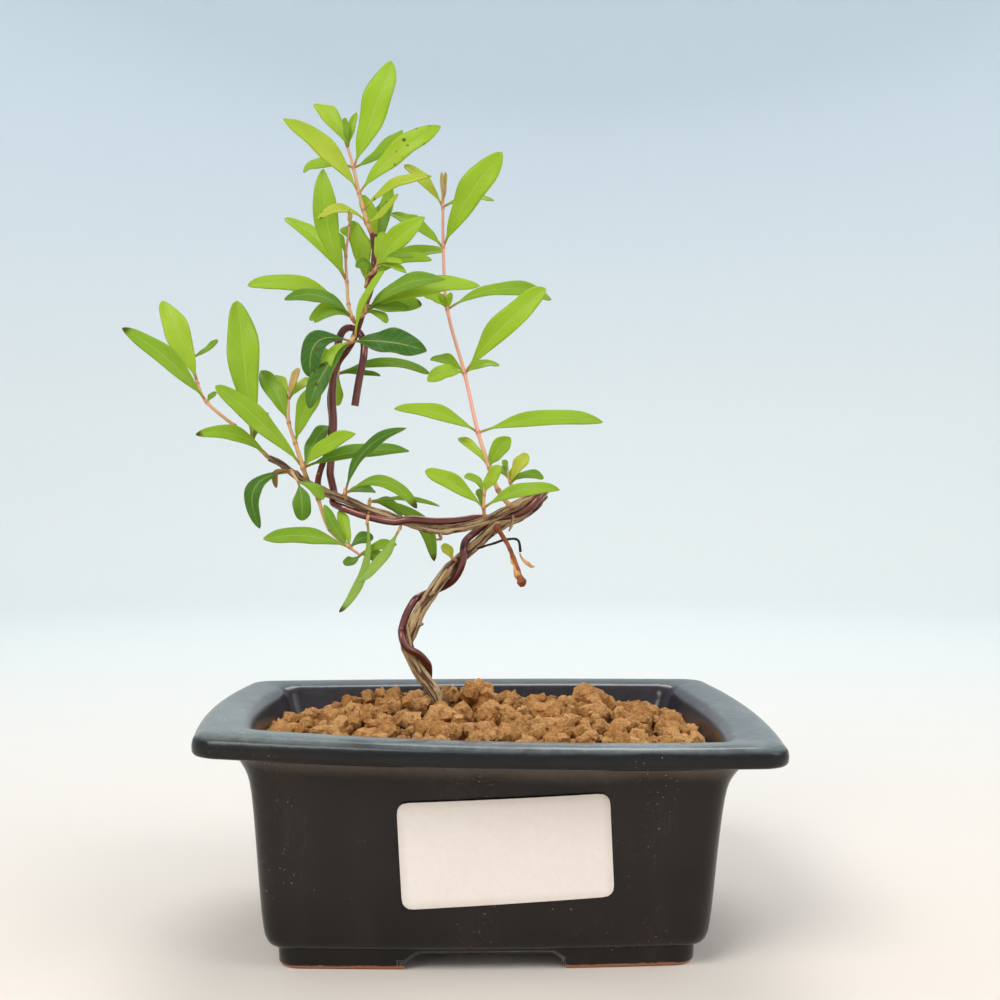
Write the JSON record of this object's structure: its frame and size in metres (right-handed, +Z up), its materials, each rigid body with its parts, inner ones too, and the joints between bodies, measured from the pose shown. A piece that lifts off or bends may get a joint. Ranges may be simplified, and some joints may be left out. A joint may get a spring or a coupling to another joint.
{
  "type": "pomegranate bonsai",
  "caption": "Young pomegranate trained as a wired bonsai with a looped trunk and leafy shoots, in a wide-lipped rectangular glazed pot with bracket feet, filled with clay granules.",
  "frame": {"origin": "on the surface the pot stands on, under the middle of the whole width and depth", "axes": "+Z up, the pot's front wall and its label face -Y, +X to the right seen from the front"},
  "size_m": [0.152, 0.1036, 0.21],
  "materials": {
    "glaze": "satin",
    "akadama": "matte",
    "bark": "matte",
    "anodised_wire": "satin",
    "label_paper": "matte",
    "dried_leaf": "matte",
    "mesh_plastic": "matte",
    "young_leaf": "satin",
    "old_leaf": "satin"
  },
  "bodies": {
    "root": {"pot": "glaze", "soil": "akadama", "trunk": "bark", "wire": "anodised_wire", "label": "label_paper", "withered_leaf": "dried_leaf", "drain_mesh_left": "mesh_plastic", "drain_mesh_right": "mesh_plastic", "shoot_tall_right": "young_leaf", "shoot_front_small": "young_leaf", "shoot_behind_small": "young_leaf", "shoot_top": "young_leaf", "shoot_upper_leader": "young_leaf", "shoot_upper_back": "young_leaf", "shoot_mid_leader": "young_leaf", "shoot_left_pink": "young_leaf", "shoot_dark_leaves": "old_leaf", "shoot_leader_back": "old_leaf", "shoot_left_end": "young_leaf", "shoot_left_middle": "young_leaf", "shoot_hanging_left": "young_leaf", "shoot_branch_middle": "young_leaf", "shoot_branch_right": "young_leaf", "shoot_hanging_middle": "young_leaf", "shoot_hanging_long": "young_leaf", "shoot_hanging_pale": "young_leaf", "trunk_leaf": "young_leaf"}
  },
  "joints": []
}
